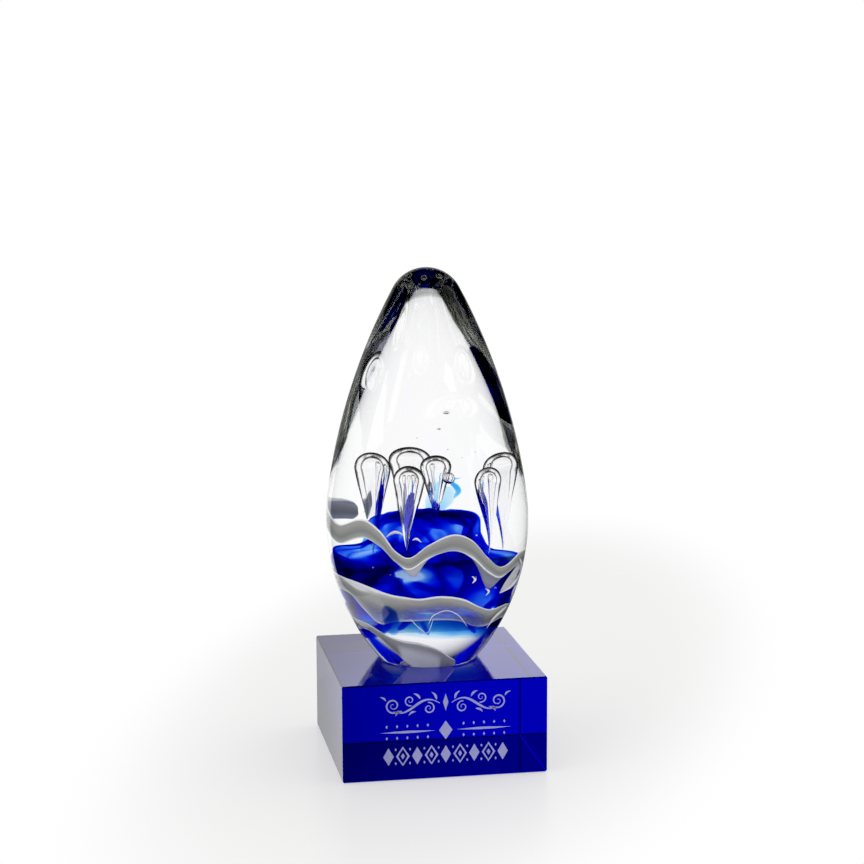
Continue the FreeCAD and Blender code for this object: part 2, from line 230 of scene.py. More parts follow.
def make_floor():
    """Large pale floor with a grey pool of painted shade round the award, which brightens into the white
    surround; it glows, and stays bright when seen through glass.
    """
    mesh = bpy.data.meshes.new("floor")
    build = bmesh.new()
    bmesh.ops.create_circle(build, cap_ends=True, radius=4.0, segments=64)
    bmesh.ops.translate(build, verts=build.verts, vec=(0, 0, -FLOOR_DROP))
    build.to_mesh(mesh)
    build.free()
    floor = bpy.data.objects.new("floor", mesh)
    scene.collection.objects.link(floor)
    material, tree, shader = new_material("pale_floor")
    tree.fill(shader, {"Base Color": (0.82, 0.82, 0.80, 1), "Roughness": 0.3, "Specular IOR Level": 0.35})
    path = tree.add("LightPath").outputs
    place = tree.split(tree.place())
    aside = tree.math("MULTIPLY_ADD", place["Y"], -POOL_LEAN, place["X"])
    ahead = tree.math("MULTIPLY_ADD", place["Y"], POOL_DEPTH, -POOL_SHIFT)
    reach = tree.math("SQRT", tree.math("MULTIPLY_ADD", ahead, ahead, tree.math("MULTIPLY", aside, aside)))
    # Painted shade: near the award the floor glows less and more weakly, a grey pool that stands in for the
    # award's soft shadow.
    far = tree.ease(reach, POOL_SPAN, (0.0, 1.0))
    lit = tree.math("MULTIPLY_ADD", far, 1 - NEAR_GLOW, NEAR_GLOW)
    undiffused = tree.math("LESS_THAN", path["Diffuse Depth"], 0.5)
    through = tree.math("MULTIPLY", path["Is Transmission Ray"], undiffused)
    mirrored = is_mirrored(tree, path)
    glow_share = tree.math("MAXIMUM", lit, tree.math("MAXIMUM", through, mirrored))
    strength = tree.math("MULTIPLY_ADD", far, FAR_FLOOR_LIGHT - NEAR_FLOOR_LIGHT, NEAR_FLOOR_LIGHT)
    strength = tree.choose(through, strength, FLOOR_THROUGH_GLASS)
    strength = tree.choose(mirrored, strength, mirrored_floor(tree, place))
    strength = tree.choose(is_trapped(tree, path), strength, TRAPPED_LIGHT)
    glow = tree.add("Emission", Strength=strength)
    blend = tree.add("MixShader")
    tree.fill(blend, {0: glow_share, 1: shader.outputs[0], 2: glow.outputs[0]})
    tree.fill(tree.nodes["Material Output"], {"Surface": blend.outputs[0]})
    mesh.materials.append(material)


def make_world():
    """White studio, bright near the horizon and darker overhead; the award mirrors only its back wall."""
    world = bpy.data.worlds.new("studio")
    scene.world = world
    tree = Tree(world)
    path = tree.add("LightPath").outputs
    direction = tree.split(tree.place("Generated"))
    ceiling = tree.ease(direction["Z"], (0.35, 0.75), (1.0, 0.04))
    bounced_ceiling = tree.ease(direction["Z"], (0.6, 1.0), (1.0, 0.4))
    back_wall = tree.ease(direction["Y"], (0.8, 0.93), (0.0, MIRRORED_WALL))
    bounced = tree.math("GREATER_THAN", path["Glossy Depth"], 0.5)
    diffused = tree.math("GREATER_THAN", path["Diffuse Depth"], 0.5)
    in_glass = tree.math("GREATER_THAN", path["Transmission Depth"], 0.5)
    strength = tree.choose(bounced, ceiling, bounced_ceiling)
    strength = tree.choose(is_mirrored(tree, path), strength, tree.math("MULTIPLY", ceiling, back_wall))
    strength = tree.choose(is_trapped(tree, path), strength, TRAPPED_LIGHT)
    strength = tree.choose(diffused, strength, tree.choose(in_glass, DOME_LIGHT, DOME_THROUGH_GLASS))
    strength = tree.choose(path["Is Camera Ray"], strength, 1.0)
    tree.fill(tree.nodes["Background"], {"Strength": strength, "Color": (1, 1, 1, 1)})


def make_lights():
    """Two large soft lamps overhead that light the floor but aren't mirrored in the glass."""
    for name, place in (("lamp_left", (-0.7, -0.3, 1.3)), ("lamp_right", (0.6, 0.2, 1.4))):
        data = bpy.data.lights.new(name, "AREA")
        data.shape = "DISK"
        data.size = 1.0
        data.energy = 4.0
        lamp = bpy.data.objects.new(name, data)
        lamp.location = place
        aim = Vector((0, 0, 0.08)) - lamp.location
        lamp.rotation_euler = aim.to_track_quat("-Z", "Y").to_euler()
        lamp.visible_glossy = False
        lamp.visible_transmission = False
        scene.collection.objects.link(lamp)


# ---------------- materials

def adhesive_glass():
    """Clear cured adhesive with a trace of streaky tint."""
    material, tree, shader = new_material("adhesive")
    streaks = tree.noise(25.0, stretch=(1, 1, 0.4))
    tree.fill(shader, {"Base Color": tree.ramp(streaks, [(0.35, 1.0), (0.7, (0.985, 0.99, 0.99))]),
                       "Transmission Weight": 1, "Roughness": 0, "IOR": GLASS_IOR})
    return material


def pure_glass(name):
    """Smooth glass that bends and mirrors light in one colour, which the caller gives it."""
    material, tree, shader = new_material(name)
    tree.nodes.remove(shader)
    glass = tree.add("BsdfGlass", IOR=GLASS_IOR, Roughness=0)
    tree.fill(tree.nodes["Material Output"], {"Surface": glass.outputs[0]})
    return material, tree, glass


def egg_glass():
    """Clear glass with painted shade: its upper flanks are painted dark towards their edges, in streaks of
    lighter and darker painted shade.
    """
    material, tree, glass = pure_glass("egg_clear")
    streaks = tree.noise(25.0, stretch=(1, 1, 0.4))
    pale = tree.ramp(streaks, [(0.35, 0.995), (0.7, (0.985, 0.99, 0.99))])
    place = tree.split(tree.place())
    # Painted shade: the dark band along the flanks starts nearer the middle higher up and on the right, with
    # a ragged inner edge.
    middle = tree.ease(place["Z"], (FOOT + 64 * MM, FOOT + 86 * MM), (0.97, 0.54))
    upper = tree.ease(place["Z"], (FOOT + 106 * MM, FOOT + 140 * MM), (0.0, 0.42))
    right = tree.ease(place["X"], (4 * MM, 16 * MM), (0.0, 0.07))
    start = tree.math("SUBTRACT", tree.math("SUBTRACT", middle, upper), right)
    start = tree.math("ADD", start, tree.math("MULTIPLY_ADD", tree.noise(90.0), 0.16, -0.08))
    depth = tree.math("SUBTRACT", tree.facing(), start)
    inside = tree.add("NewGeometry").outputs["Backfacing"]
    dark = tree.ease(depth, (0.0, 0.04), (0.0, 1.0))
    # Rays on their way out of the glass get less of the painted shade.
    dark = tree.math("MULTIPLY", dark, tree.math("MULTIPLY_ADD", inside, -0.45, 1.0))
    # Painted streaks of lighter and darker shade within the dark band, running along the flanks.
    along = tree.add("CombineXYZ", X=tree.math("MULTIPLY", depth, 9.0),
                     Y=tree.math("MULTIPLY", place["Z"], 40.0), Z=tree.math("MULTIPLY", place["X"], 25.0))
    shade = tree.add("TexNoise", Vector=along.outputs[0], Scale=1.0, Detail=3.0)
    shade = tree.ramp(shade.outputs["Fac"], [(0.38, (0.13, 0.13, 0.11)), (0.46, (0.36, 0.37, 0.34)),
                                             (0.53, (0.08, 0.08, 0.06)), (0.6, (0.55, 0.55, 0.5)),
                                             (0.66, (0.14, 0.14, 0.12))])
    tree.fill(glass, {"Color": tree.mix(dark, pale, shade)})
    return material


def bubble_glass():
    """Wall of an air bubble with painted shade: dark where it is met at a low angle, most of all at the top,
    broken by painted highlights, and weaker along the tails.
    """
    material, tree, glass = pure_glass("bubble_wall")
    upright = tree.split(tree.add("NewGeometry").outputs["Normal"])
    # Painted shade: the rim darkens with a low angle and with an upright normal, so the top of each bubble
    # gets the darkest crescent.
    edge = tree.math("MULTIPLY_ADD", tree.math("ABSOLUTE", upright["Z"]), 0.22, tree.facing())
    # Noise breaks the dark rim with painted highlights.
    edge = tree.math("ADD", edge, tree.math("MULTIPLY_ADD", tree.noise(160.0), 0.36, -0.18))
    # Lower down, along the tails, the painted shade fades.
    tail = tree.ease(tree.split(tree.place())["Z"], (FOOT + 50 * MM, FOOT + 68 * MM), (-0.36, 0.0))
    edge = tree.math("ADD", edge, tail)
    tree.fill(glass, {"Color": tree.ramp(edge, [(0.5, 0.99), (0.58, 0.28), (0.72, 0.02)])})
    return material


def cobalt_crystal(name, light, clear):
    """Polished crystal, blue through its body, with painted shade that dims it towards its left rear edge."""
    material, tree, glass = pure_glass(name)
    place = tree.split(tree.place())
    # Painted shade: the crystal's colour dims to two thirds towards the left rear.
    across = tree.math("MULTIPLY_ADD", place["Y"], -0.5, place["X"])
    painted_shade = tree.ease(across, (-0.8 * BLOCK_WIDTH, 0.25 * BLOCK_WIDTH), (0.66, 1.0))
    tint = tree.ramp(tree.noise(60.0, 3.0), [(0.3, clear), (0.7, light)])
    tree.fill(glass, {"Color": tree.mix(1.0, tint, painted_shade, "MULTIPLY")})
    tree.absorb((0.0, 0.02, 0.91), 110)
    return material


def veil_glass(name, colour, density):
    """Blue glass inside clear glass: it bends no light, and only its body has colour."""
    material, tree, shader = new_material(name)
    streaks = tree.ramp(tree.noise(120.0, 3.0), [(0.4, 1.0), (0.65, (0.82, 0.88, 1.0))])
    tree.fill(shader, {"Base Color": streaks, "Transmission Weight": 1, "Roughness": 0, "IOR": 1.0})
    tree.absorb(colour, density)
    return material


def opal_glass():
    """White glass with cloudy streaks and painted light across the band, by its skin's course: angle, place
    across the band and milkiness.
    """
    material, tree, shader = new_material("opal_white")
    course = tree.add("Attribute")
    course.attribute_name = "course"
    course = course.outputs["Vector"]
    across, milk = tree.split(course)[1:]
    stretched = tree.add("Mapping", Vector=course, Scale=(0.3, 0.8, 0)).outputs[0]
    cloud = tree.add("TexNoise", Vector=stretched, Scale=1.3, Detail=2.0).outputs["Fac"]
    height = tree.math("MULTIPLY_ADD", across, 0.25, 0.75)
    height = tree.math("ADD", height, tree.math("MULTIPLY_ADD", cloud, 0.08, -0.04))
    # Painted light across the band: the white at the swollen rims is painted highlight, and the greys between
    # them, darkest just above the lower rim, are painted shade; the lilac grey at the bottom is the fold that
    # hangs below.
    body = tree.ramp(height, [(0.45, (0.36, 0.37, 0.45)), (0.48, 1.0), (0.515, 1.0),
                              (0.545, (0.43, 0.47, 0.47)), (0.68, (0.3, 0.31, 0.3)),
                              (0.8, (0.38, 0.38, 0.37)), (0.95, (0.5, 0.5, 0.49)), (0.975, 1.0)])
    dense = tree.ease(milk, (1.0, 1.3), (0.0, 1.0))
    thin = tree.math("ADD", milk, tree.math("MULTIPLY_ADD", cloud, 0.5, -0.25))
    bump = tree.add("Bump", Strength=0.3, Distance=0.3 * MM, Height=cloud)
    tree.fill(shader, {"Base Color": tree.mix(dense, body, (0.9, 0.92, 0.95, 1)),
                       "Roughness": 0.6, "Specular IOR Level": 0.0,
                       "Alpha": tree.ease(thin, (0.05, 0.85), (0.12, 0.98)),
                       "Normal": bump.outputs[0]})
    return material


def frosted_glass():
    """White frosted marks of the etching."""
    material, tree, shader = new_material("etched_white")
    grain = tree.ramp(tree.noise(2500.0), [(0.35, (0.42, 0.43, 0.72)), (0.65, (0.62, 0.63, 0.9))])
    tree.fill(shader, {"Base Color": grain, "Roughness": 0.8})
    return material


# ---------------- meshes

def add_piece(name, mesh, material, slot, *replaced):
    """Links a mesh as a piece that rides on the award's one body."""
    piece = bpy.data.objects.new(name, mesh)
    scene.collection.objects.link(piece)
    mesh.materials.append(material)
    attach(piece, "root")
    if replaced:
        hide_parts(*replaced)
    return piece


class Skin:
    """Collects points and faces of a mesh."""

    def __init__(self):
        self.points = []
        self.faces = []

    def turned(self, rows, poles=(None, None), inward=False):
        """Tube through equal rings of points, closed at each end that has a pole."""
        start = len(self.points)
        count = len(rows[0])
        for row in rows:
            self.points.extend(row)
        for level in range(len(rows) - 1):
            here = start + level * count
            for step in range(count):
                turn = (step + 1) % count
                quad = (here + step, here + turn, here + count + turn, here + count + step)
                self.faces.append(quad[::-1] if inward else quad)
        for end, pole in zip((0, len(rows) - 1), poles):
            if pole is None:
                continue
            tip = len(self.points)
            self.points.append(pole)
            ring = start + end * count
            for step in range(count):
                turn = (step + 1) % count
                face = (ring + turn, ring + step, tip) if end == 0 else (ring + step, ring + turn, tip)
                self.faces.append(face[::-1] if inward else face)

    def capped(self, rows):
        """Closed tube whose poles are the middles of its first and last ring."""
        self.turned(rows, [tuple(np.mean(row, axis=0)) for row in (rows[0], rows[-1])])

    def mesh(self, name, smooth=True, cavities=False):
        """Mesh whose faces look outwards; where it has cavities, those keep their own direction."""
        data = bpy.data.meshes.new(name)
        data.from_pydata([tuple(point) for point in self.points], [], self.faces)
        if not cavities:
            build = bmesh.new()
            build.from_mesh(data)
            bmesh.ops.recalc_face_normals(build, faces=build.faces)
            build.to_mesh(data)
            build.free()
        data.polygons.foreach_set("use_smooth", [smooth] * len(data.polygons))
        data.update()
        return data


def spot(turn, reach, level):
    """Point at an angle from the front to the right, a distance from the axis and a level."""
    return (reach * math.sin(turn), -reach * math.cos(turn), level)


def ring(radius, height, count):
    """Level ring of points; its radius and height may be functions of the angle."""
    points = []
    for step in range(count):
        turn = 2 * math.pi * step / count
        points.append(spot(turn, radius(turn) if callable(radius) else radius,
                           height(turn) if callable(height) else height))
    return points


# The egg's half-outline is three arcs: the belly's, the flank's above it, and the tip's.
BELLY_LEVEL, BELLY_ARC = 52.9 * MM, 81.6 * MM
FLANK_LEVEL, FLANK_ARC = 64.6 * MM, 230.0 * MM
TIP_ARC = 14.0 * MM
ARC_STEPS = 200


def egg_outline(count):
    """Half-outline of the egg from its foot to its tip, as (radius, height above the foot)."""
    inset = BELLY_ARC - BELLY
    foot_angle = -math.asin(BELLY_LEVEL / BELLY_ARC)
    join = math.asin((FLANK_LEVEL - BELLY_LEVEL) / BELLY_ARC)
    shift = FLANK_ARC - BELLY_ARC
    flank = (-inset - shift * math.cos(join), BELLY_LEVEL - shift * math.sin(join))
    tip_level = EGG_HEIGHT - TIP_ARC
    tip_join = math.atan2(tip_level - flank[1], -flank[0])
    arcs = [((-inset, BELLY_LEVEL), BELLY_ARC, foot_angle, join), (flank, FLANK_ARC, join, tip_join),
            ((0, tip_level), TIP_ARC, tip_join, math.pi / 2)]
    points = []
    for centre, radius, start, end in arcs:
        for step in range(ARC_STEPS):
            angle = start + (end - start) * step / ARC_STEPS
            points.append((centre[0] + radius * math.cos(angle), centre[1] + radius * math.sin(angle)))
    points.append((0.0, EGG_HEIGHT))
    outline = np.array(points)
    length = np.concatenate([[0], np.cumsum(np.hypot(*np.diff(outline, axis=0).T))])
    even = np.linspace(0, length[-1], count)
    return np.column_stack([np.interp(even, length, outline[:, 0]), np.interp(even, length, outline[:, 1])])


EGG_TABLE = egg_outline(600)


def egg_reach(height):
    """Radius of the egg's outside at a height above its foot."""
    return float(np.interp(height, EGG_TABLE[:, 1], EGG_TABLE[:, 0]))


# ---------------- air bubbles

# Angle from the front to the right, distance from the axis, height of the top, length, head radius,
# sideways drift of the tail's end, and bend on the way.
BUBBLES = {
    "front": (-29.5, 16.0, 75.3, 32.5, 4.7, -0.3, 0.5),
    "right_front": (62, 18.0, 72.7, 30.5, 4.1, -1.2, -1.4),
    "right": (104, 18.6, 75.0, 33.0, 4.3, 0.8, 2.4),
    "back": (182, 16.0, 76.2, 31.0, 4.2, 1.2, -1.0),
    "left": (-118, 13.6, 76.2, 35.5, 4.4, -1.8, 1.2),
    "centre": (80, 2.2, 76.2, 25.5, 3.9, -1.0, -1.2),
}

# Share of a bubble's length that is above its widest place.
HEAD_SHARE = 0.17


def drop_width(part):
    """Half-width of a bubble, as a share of its head radius, from its top (0) to the end of its tail (1)."""
    if part < HEAD_SHARE:
        return math.sqrt(max(0.0, 1 - (1 - part / HEAD_SHARE) ** 2.2))
    fall = (part - HEAD_SHARE) / (1 - HEAD_SHARE)
    return (1 - fall ** 1.25) ** 1.35 * (1 - 0.35 * fall) + 0.05 * math.sin(math.pi * fall)


def add_bubble(skin, angle, reach, top, length, head, drift, bend):
    """Cavity of a teardrop bubble whose tail drifts sideways and bends on its way down."""
    turn = math.radians(angle)
    out = Vector((math.sin(turn), -math.cos(turn), 0))
    side = Vector((math.cos(turn), math.sin(turn), 0))

    def middle(part):
        return out * reach + side * (drift * part ** 1.3 + bend * math.sin(2 * math.pi * part ** 0.85) * part)

    rows = []
    steps, around = 64, 48
    for step in range(1, steps):
        part = 1 - 0.5 * (1 - math.cos(math.pi * step / steps))
        spot = middle(part)
        width = head * drop_width(part)
        level = FOOT + (top - length * part) * MM
        rows.append([((spot.x + width * math.cos(a)) * MM, (spot.y + width * math.sin(a)) * MM, level)
                     for a in (2 * math.pi * k / around for k in range(around))])
    low, high = middle(1), middle(0)
    skin.turned(rows, ((low.x * MM, low.y * MM, FOOT + (top - length) * MM),
                       (high.x * MM, high.y * MM, FOOT + top * MM)), inward=True)


def add_bead(skin, centre, radius, levels=14, count=24, squash=1.0):
    """Cavity of a small round bubble, or of a flattened one."""
    rows = []
    for level in range(1, levels):
        tilt = math.pi * level / levels - math.pi / 2
        rows.append([(centre[0] + radius * math.cos(tilt) * math.cos(a),
                      centre[1] + radius * math.cos(tilt) * math.sin(a),
                      centre[2] + radius * squash * math.sin(tilt))
                     for a in (2 * math.pi * k / count for k in range(count))])
    tall = radius * squash
    skin.turned(rows, ((centre[0], centre[1], centre[2] - tall), (centre[0], centre[1], centre[2] + tall)),
                inward=True)


# Bead bubble: distance right of the axis, distance behind it, height, half-width, and height over width.
BEAD = (5.3, -3.0, 68.4, 1.3, 1.55)

# Lone seeds: distance right of the axis, distance behind it, height, half-width.
SEEDS = [(4.9, 0.0, 91.4, 0.9), (3.2, 1.0, 85.4, 0.6), (17.5, 2.0, 65.5, 0.7), (-3.0, -2.0, 83.0, 0.25),
         (12.0, -6.0, 78.0, 0.25), (16.0, 4.0, 62.0, 0.2), (9.0, 5.0, 74.0, 0.2), (-17.0, 6.0, 72.0, 0.25),
         (11.8, -23.4, 36.6, 0.5), (18.8, -17.0, 31.4, 0.5), (24.0, -8.0, 33.0, 0.3),
         (-16.0, -21.5, 38.0, 0.3)]

# Number of finer seeds, which lie at random.
STRAY_SEEDS = 60


def make_casing():
    """Outside of the egg and every cavity in it, as one closed skin."""
    skin = Skin()
    rows = [ring(radius, FOOT + height, 256) for radius, height in egg_outline(260)[:-1]]
    skin.turned(rows, ((0, 0, FOOT), (0, 0, FOOT + EGG_HEIGHT)))
    outside = len(skin.faces)
    for shape in BUBBLES.values():
        add_bubble(skin, *shape)
    right, behind, height, size, squash = BEAD
    add_bead(skin, (right * MM, behind * MM, FOOT + height * MM), size * MM, squash=squash)
    walled = len(skin.faces)
    for right, behind, height, size in SEEDS:
        add_bead(skin, (right * MM, behind * MM, FOOT + height * MM), size * MM, 8, 12, 0.6)
    chance = random.Random(7)
    for _ in range(STRAY_SEEDS):
        turn = chance.uniform(0, 2 * math.pi)
        reach = chance.uniform(4, 24) * MM
        height = chance.triangular(14, 80, 34) * MM
        size = chance.choice((0.12, 0.16, 0.2, 0.3)) * MM
        add_bead(skin, spot(turn, reach, FOOT + height), size, 6, 8)
    mesh = skin.mesh("egg_glass", cavities=True)
    in_wall = [int(outside <= face < walled) for face in range(len(skin.faces))]
    mesh.polygons.foreach_set("material_index", in_wall)
    egg = add_piece("egg_glass", mesh, egg_glass(), "clear_glass", "clear_casing", "clear_core")
    mesh.materials.append(bubble_glass())
    return egg


# ---------------- white trail

# Angle from the front to the right, height of the band's middle, half its width, how milky it stays towards
# its lower edge, and how milky it is as a whole.
TRAIL_COURSE = [
    (-162, 52.4, 2.4, 0.9, 1.12), (-154, 53.0, 2.9, 0.9, 1.12), (-125, 51.4, 3.3, 0.9, 1.12),
    (-92, 49.0, 3.2, 0.9, 1.0), (-62, 53.0, 3.2, 0.9, 1.0), (-46, 50.2, 2.8, 0.9, 1.0),
    (-34, 44.6, 2.0, 0.9, 1.0), (-23, 42.4, 2.0, 0.9, 1.0), (-9, 46.6, 2.3, 0.9, 1.0),
    (9, 49.5, 2.9, 0.9, 1.0), (24, 47.0, 3.0, 0.9, 1.0), (40, 40.4, 2.4, 0.8, 1.0),
    (56, 36.8, 1.8, 0.8, 1.0), (86, 39.6, 2.0, 0.7, 1.0), (120, 37.8, 2.4, 0.4, 0.7),
    (180, 34.5, 2.6, 0.3, 0.3), (240, 32.0, 2.6, 0.4, 0.7), (272, 31.2, 2.8, 0.6, 1.3),
    (286, 28.8, 4.8, 0.45, 1.5), (302, 25.6, 6.8, 0.3, 1.15), (320, 25.4, 5.2, 0.45, 1.1),
    (332, 25.3, 4.7, 0.3, 1.1), (343, 25.2, 4.3, 0.25, 1.0), (361, 25.8, 4.6, 0.25, 1.0),
    (380, 24.6, 4.3, 0.2, 1.0), (397, 21.6, 3.8, 0.1, 1.0), (413, 20.2, 3.2, 0.4, 1.0),
    (440, 21.5, 2.6, 0.7, 0.9), (540, 19.0, 2.0, 0.6, 0.3), (638, 17.0, 1.5, 0.9, 0.8),
    (653, 15.0, 1.8, 0.9, 0.9), (667, 11.2, 3.0, 0.7, 1.0), (680, 7.9, 5.0, 1.3, 1.0),
    (702, 5.3, 6.6, 1.35, 1.0), (724, 3.2, 5.6, 1.3, 1.0), (739, 1.7, 3.7, 0.5, 1.0),
    (752, 0.9, 2.3, 0.9, 1.0),
]

# Thin folds that hang below the band: angle, half-width in degrees, drop, milkiness.
FOLDS = [(-19, 7, 3.4, 1.1), (42, 11, 5.6, 0.55)]

# The band's distance from the axis as a share of the egg's, its thickness, and the points round its section.
TRAIL_REACH = 0.66
TRAIL_THICKNESS = 1.4
TRAIL_AROUND = 56

# Slivers of white glass close over the heart and the band; the first four are painted glints of light, two
# arcs over the crown and two short flecks.
# Columns: distance from the axis, milkiness, then angle, height and half-width along each of them.
SLIVERS = [
    (15.4, 1.0, [(-58, 49.6, 0.08), (-52, 50.9, 0.4), (-46, 51.6, 0.5), (-39, 51.3, 0.3), (-33, 49.8, 0.08)]),
    (15.4, 1.0, [(-26, 49.3, 0.1), (-21.5, 49.8, 0.4), (-16, 48.7, 0.1)]),
    (23.7, 1.0, [(26.5, 36.9, 0.12), (29.5, 35.6, 0.45), (27, 34.3, 0.12)]),
    (22.7, 1.0, [(42, 31.7, 0.12), (46, 30.4, 0.45), (43, 29.1, 0.12)]),
    (24.0, 1.0, [(74, 37.2, 0.08), (81, 37.9, 0.3), (88, 38.0, 0.08)]),
    (25.0, 1.0, [(84, 39.4, 0.3), (92, 36.6, 0.7), (91, 33.6, 0.9), (77, 30.9, 0.9), (57, 29.0, 0.12)]),
    (24.4, 0.4, [(94, 36.0, 0.3), (86, 36.0, 1.8), (75, 33.4, 2.4), (64, 31.0, 1.8), (56, 29.0, 0.2)]),
    (22.4, 1.0, [(80, 22.6, 0.3), (71, 21.6, 0.8), (58, 19.3, 0.7), (50, 15.6, 0.12)]),
    (23.2, 1.0, [(-9, 19.6, 0.06), (-5, 23.1, 0.16), (6, 24.8, 0.16), (16, 22.7, 0.16), (25, 17.8, 0.06)]),
    (22.8, 1.0, [(-24, 21.6, 0.06), (-18, 18.6, 0.14), (-10, 16.1, 0.14), (-5, 21.7, 0.06)]),
]


def smooth_course(stations, steps):
    """Smooth run through stations that are in the order of their first value."""
    table = np.array(stations, dtype=float)
    count = len(table)
    result = []
    for index in range(count - 1):
        p1, p2 = table[index], table[index + 1]
        p0 = table[max(index - 1, 0)]
        p3 = table[min(index + 2, count - 1)]
        span = p2[0] - p1[0]
        slope1 = (p2 - p0) / max(p2[0] - p0[0], 1e-6) * span
        slope2 = (p3 - p1) / max(p3[0] - p1[0], 1e-6) * span
        for step in range(steps):
            s = step / steps
            result.append((2 * s ** 3 - 3 * s ** 2 + 1) * p1 + (s ** 3 - 2 * s ** 2 + s) * slope1
                          + (3 * s ** 2 - 2 * s ** 3) * p2 + (s ** 3 - s ** 2) * slope2)
    result.append(table[-1])
    return np.array(result)


def sliver(skin, reach, stations):
    """Fine tapered sliver that lies on an upright cylinder round the axis."""
    line = smooth_course([(i, *station) for i, station in enumerate(stations)], 6)
    rows = []
    for number, (_, angle, height, half) in enumerate(line):
        before, after = line[max(number - 1, 0)], line[min(number + 1, len(line) - 1)]
        along = Vector((math.radians(after[1] - before[1]) * reach, after[2] - before[2])).normalized()
        row = []
        around = 10
        for k in range(around):
            a = 2 * math.pi * k / around
            out = half * math.cos(a)
            turn = math.radians(angle) + out * along.y / reach
            far = reach + min(0.6 * half, 0.35) * math.sin(a)
            row.append(spot(turn, far * MM, FOOT + (height - out * along.x) * MM))
        rows.append(row)
    skin.capped(rows)


def milkiness(below, milk, whole):
    """How milky the band is across its section: clearest low down, with a milkier lower rim."""
    upper = min(1.0, max(0.0, (below + 1) / 1.7))
    lower_rim = 0.55 * math.exp(-((below + 0.93) / 0.1) ** 2)
    share = milk + (1 - milk) * upper ** 3
    return whole * (share + milk * lower_rim * max(0.0, 1 - share))


def fold_at(angle):
    """Drop and milkiness of the fold that hangs below the band at an angle."""
    return max((drop * math.exp(-((angle - centre) / wide) ** 2), haze) for centre, wide, drop, haze in FOLDS)


def band_section(angle, height, half, milk, whole, end):
    """Points round the band at an angle, and their marks for the opal glass."""
    fold, haze = fold_at(angle)
    turn = math.radians(angle)
    row, marks = [], []
    for step in range(TRAIL_AROUND):
        a = 2 * math.pi * step / TRAIL_AROUND
        across = math.copysign(abs(math.sin(a)) ** 0.9, math.sin(a))
        depth = math.copysign(abs(math.cos(a)) ** 0.7, math.cos(a))
        hang = half * across - fold * max(0.0, -across - 0.2) / 0.8
        level = max(0.6, height + hang)
        rim = max(0.0, abs(across) - 0.62) / 0.38
        thick = TRAIL_THICKNESS / 2 * (0.38 + 0.62 * math.sin(math.pi * min(1.0, rim * 0.9)) ** 2) * end
        wave = 0.35 * perlin.noise(Vector((angle * 0.03, across * 0.8, 4.0)))
        reach = TRAIL_REACH * egg_reach(level * MM) + (thick * depth + wave) * MM
        row.append(spot(turn, reach, FOOT + level * MM))
        below = hang / half
        marks.append((turn * 4, below, milkiness(below, milk, whole) if below > -1.1 else haze))
    return row, marks


def make_trail():
    """Band of white glass wound round the heart, with swollen rims and a milky lower part, and slivers, four
    of which are painted glints.
    """
    skin = Skin()
    rows, marks = [], []
    course = smooth_course(TRAIL_COURSE, 26)
    for number, (angle, height, half, milk, whole) in enumerate(course):
        end = min(1.0, (number + 1) / 10, (len(course) - number) / 10)
        row, row_marks = band_section(angle, height, half * end ** 0.35, milk, whole, end)
        rows.append(row)
        marks += row_marks
    skin.capped(rows)
    marks += [marks[0], marks[-1]]
    for reach, milk, stations in SLIVERS:
        sliver(skin, reach, stations)
        # Every sliver takes the plain white at the top of the band's ramp; on the first four slivers this
        # white is a painted glint.
        marks += [(0.0, 1.3, milk)] * (len(skin.points) - len(marks))
    mesh = skin.mesh("white_ribbon")
    course_marks = mesh.attributes.new("course", "FLOAT_VECTOR", "POINT")
    course_marks.data.foreach_set("vector", [value for mark in marks for value in mark])
    return add_piece("white_ribbon", mesh, opal_glass(), "white_glass", "white_trail")


# ---------------- blue heart

# Half-outline of the heart from its lower rim to its crown: distance from the axis, height.
HEART_OUTLINE = [(18.4, 23.0), (20.2, 27.0), (21.6, 31.0), (22.8, 36.0), (23.2, 40.2), (21.8, 43.0),
                 (16.4, 44.9), (13.9, 48.4), (13.5, 52.6), (11.4, 54.9), (6.0, 55.9)]

# Windows where the blue layer is thin, and folds where it is thick: angle, height, half-width in degrees,
# half-height, and the share that is missing, below zero for a fold.
WINDOWS = [
    (-26, 37.6, 15, 2.5, 1.0), (178, 34.2, 12, 3.2, 1.0), (-100, 43.7, 38, 3.4, 0.9),
    (-148, 41.6, 20, 3.3, 0.9), (-80, 53.4, 26, 3.2, 0.9), (-136, 51.0, 20, 3.4, 0.9),
    (-42, 49.0, 6, 1.6, 0.7), (102, 43.0, 40, 4.0, 0.95), (79, 36.6, 6, 2.4, 0.94),
    (69, 33.2, 5, 2.4, 0.94), (60, 29.4, 6, 2.8, 0.94), (132, 38.4, 15, 6.4, 0.88),
    (137, 29.4, 9, 3.0, 0.9), (163, 32.0, 9, 2.4, 0.6), (10, 49.0, 16, 3.0, 0.25),
    (4, 24.6, 28, 2.4, 0.7), (-60, 35.5, 20, 4.2, -0.9), (-158, 34.0, 10, 3.6, -0.9),
    (12, 41.6, 18, 2.2, -0.9),
]

# Least thickness of the blue layer, and depth of its ridges.
THINNEST = 0.12
RIDGES = 5.5

# Height of the crown's middle, outside and inside.
CROWN_TOP = 56.2
CROWN_CEILING = 53.8


def apart(turn, angle):
    """Degrees from an angle to a place round the axis, the short way."""
    gap = turn - math.radians(angle)
    return math.degrees(math.atan2(math.sin(gap), math.cos(gap)))


def bump_at(turn, angle, width):
    """Smooth hump of height one about an angle."""
    return math.exp(-(apart(turn, angle) / width) ** 2)


def swirl(turn, height, pace, seed):
    """Smooth noise round the heart, from about -1 to 1."""
    place = Vector((pace * math.sin(turn), pace * math.cos(turn), height * pace / 16 + seed))
    return 1.6 * perlin.noise(place)


